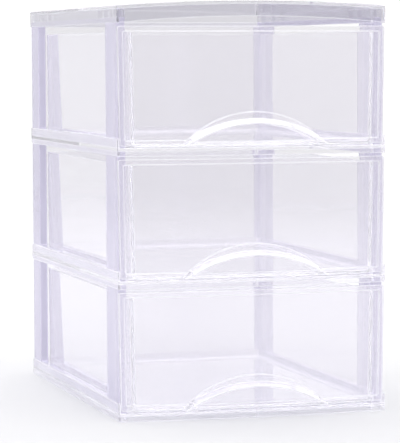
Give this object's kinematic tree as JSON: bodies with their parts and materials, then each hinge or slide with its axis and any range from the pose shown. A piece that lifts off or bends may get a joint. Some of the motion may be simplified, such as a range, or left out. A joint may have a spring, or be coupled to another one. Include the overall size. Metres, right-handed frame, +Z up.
{
  "type": "stackable drawer tower",
  "caption": "Clear desktop drawer tower: open-sided tiers stacked on rimmed shelves, each with a sliding tray and an arched finger pull, under a crowned lid.",
  "frame": {"origin": "on the surface the tower stands on, under the centre of its bounding box", "axes": "+X to the right seen from the front, -Y towards the front, +Z up"},
  "size_m": [0.18, 0.2666, 0.2674],
  "materials": {
    "case_plastic": "moulded clear plastic, faintly milky and lavender, glossy",
    "drawer_plastic": "moulded crystal-clear plastic, glossy"
  },
  "bodies": {
    "cabinet": {"base_shelf": "case_plastic", "lower_shelf": "case_plastic", "upper_shelf": "case_plastic", "lid": "case_plastic", "left_frame_bottom": "case_plastic", "left_frame_middle": "case_plastic", "left_frame_top": "case_plastic", "right_frame_bottom": "case_plastic", "right_frame_middle": "case_plastic", "right_frame_top": "case_plastic", "back_panel_bottom": "case_plastic", "back_panel_middle": "case_plastic", "back_panel_top": "case_plastic"},
    "bottom_drawer": {"drawer_bottom": "drawer_plastic"},
    "middle_drawer": {"drawer_middle": "drawer_plastic"},
    "top_drawer": {"drawer_top": "drawer_plastic"}
  },
  "joints": [
    {"name": "bottom_drawer_slide", "type": "slide", "parent": "cabinet", "child": "bottom_drawer", "axis": [0, -1, 0], "range_m": [0, 0.2]},
    {"name": "middle_drawer_slide", "type": "slide", "parent": "cabinet", "child": "middle_drawer", "axis": [0, -1, 0], "range_m": [0, 0.2]},
    {"name": "top_drawer_slide", "type": "slide", "parent": "cabinet", "child": "top_drawer", "axis": [0, -1, 0], "range_m": [0, 0.2]}
  ]
}
